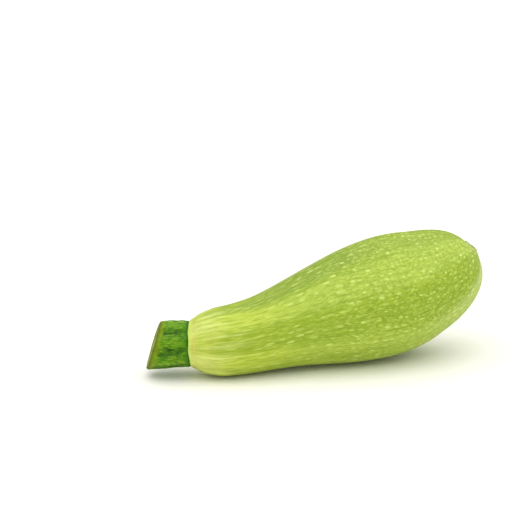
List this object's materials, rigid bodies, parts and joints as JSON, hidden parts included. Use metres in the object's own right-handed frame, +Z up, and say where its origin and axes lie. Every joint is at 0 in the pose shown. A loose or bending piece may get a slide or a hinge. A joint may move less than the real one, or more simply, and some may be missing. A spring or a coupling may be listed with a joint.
{
  "type": "zucchini",
  "caption": "Pale green club-shaped zucchini lying on its side, with a slim neck, a full belly, a short dark green cut stem and a dry scar at the blossom end.",
  "frame": {"origin": "under the middle of the whole zucchini's bounding box, on the surface it lies on", "axes": "+X along the zucchini from the cut stem to the blossom end, +Z up from the surface, +Y sideways"},
  "size_m": [0.17, 0.0586, 0.062],
  "materials": {
    "skin": null,
    "stem_skin": null,
    "scar_cork": null
  },
  "bodies": {
    "root": {"fruit": "skin", "stem": "stem_skin", "blossom_scar": "scar_cork"}
  },
  "joints": []
}
